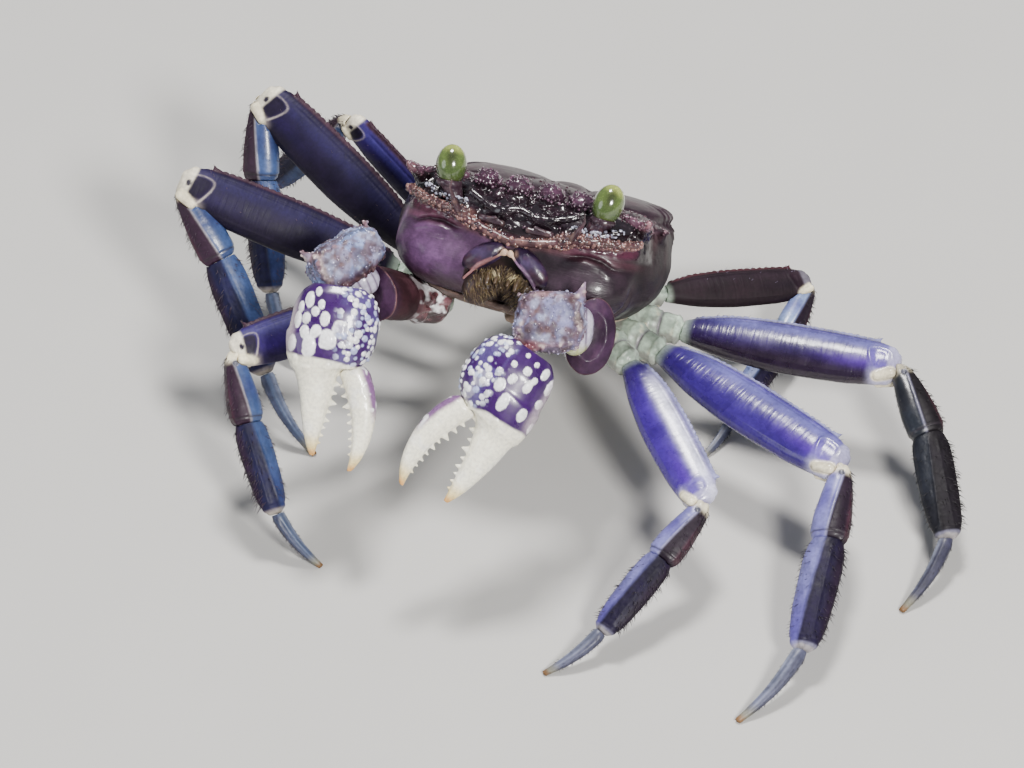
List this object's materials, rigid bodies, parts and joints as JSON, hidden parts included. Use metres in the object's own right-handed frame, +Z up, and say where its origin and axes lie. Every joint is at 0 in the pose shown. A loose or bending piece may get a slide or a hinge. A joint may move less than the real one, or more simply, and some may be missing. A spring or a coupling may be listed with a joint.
{
  "type": "land crab",
  "caption": "Still, life-size model of a dark violet marsh crab standing high on its toes with the body reared up and both white-fingered claws hanging open in front.",
  "frame": {"origin": "middle of the model's outline on the floor that it stands on", "axes": "+X to the crab's left, +Z up; the crab faces -Y"},
  "size_m": [0.0992, 0.071, 0.0396],
  "materials": {
    "shell": "wet gloss, granular in front",
    "under": "satin, pale",
    "eye": "glossy",
    "stalk": "glossy, dark",
    "mouth": "satin",
    "arm": "rough, granular",
    "palm": "satin gloss with raised white spots",
    "finger": "satin gloss, ivory",
    "hip": "satin, pale and mottled",
    "merus": "satin gloss with fine cross lines",
    "carpus": "satin gloss",
    "propodus": "satin with bristles",
    "dactyl": "satin"
  },
  "bodies": {
    "root": {"abdomen": "under", "antenna_left": "stalk", "antenna_right": "stalk", "arm_left": "arm", "arm_right": "arm", "carapace": "shell", "claw_carpus_left": "arm", "claw_carpus_right": "arm", "claw_finger_left": "finger", "claw_finger_right": "finger", "eye_left": "eye", "eye_right": "eye", "eyestalk_left": "stalk", "eyestalk_right": "stalk", "leg1_left_carpus": "carpus", "leg1_left_dactyl": "dactyl", "leg1_left_hip": "hip", "leg1_left_merus": "merus", "leg1_left_propodus": "propodus", "leg1_right_carpus": "carpus", "leg1_right_dactyl": "dactyl", "leg1_right_hip": "hip", "leg1_right_merus": "merus", "leg1_right_propodus": "propodus", "leg2_left_carpus": "carpus", "leg2_left_dactyl": "dactyl", "leg2_left_hip": "hip", "leg2_left_merus": "merus", "leg2_left_propodus": "propodus", "leg2_right_carpus": "carpus", "leg2_right_dactyl": "dactyl", "leg2_right_hip": "hip", "leg2_right_merus": "merus", "leg2_right_propodus": "propodus", "leg3_left_carpus": "carpus", "leg3_left_dactyl": "dactyl", "leg3_left_hip": "hip", "leg3_left_merus": "merus", "leg3_left_propodus": "propodus", "leg3_right_carpus": "carpus", "leg3_right_dactyl": "dactyl", "leg3_right_hip": "hip", "leg3_right_merus": "merus", "leg3_right_propodus": "propodus", "leg4_left_carpus": "carpus", "leg4_left_dactyl": "dactyl", "leg4_left_hip": "hip", "leg4_left_merus": "merus", "leg4_left_propodus": "propodus", "leg4_right_carpus": "carpus", "leg4_right_dactyl": "dactyl", "leg4_right_hip": "hip", "leg4_right_merus": "merus", "leg4_right_propodus": "propodus", "maxilliped_left": "mouth", "maxilliped_right": "mouth", "palm_left": "palm", "palm_right": "palm", "sternum": "under"}
  },
  "joints": []
}
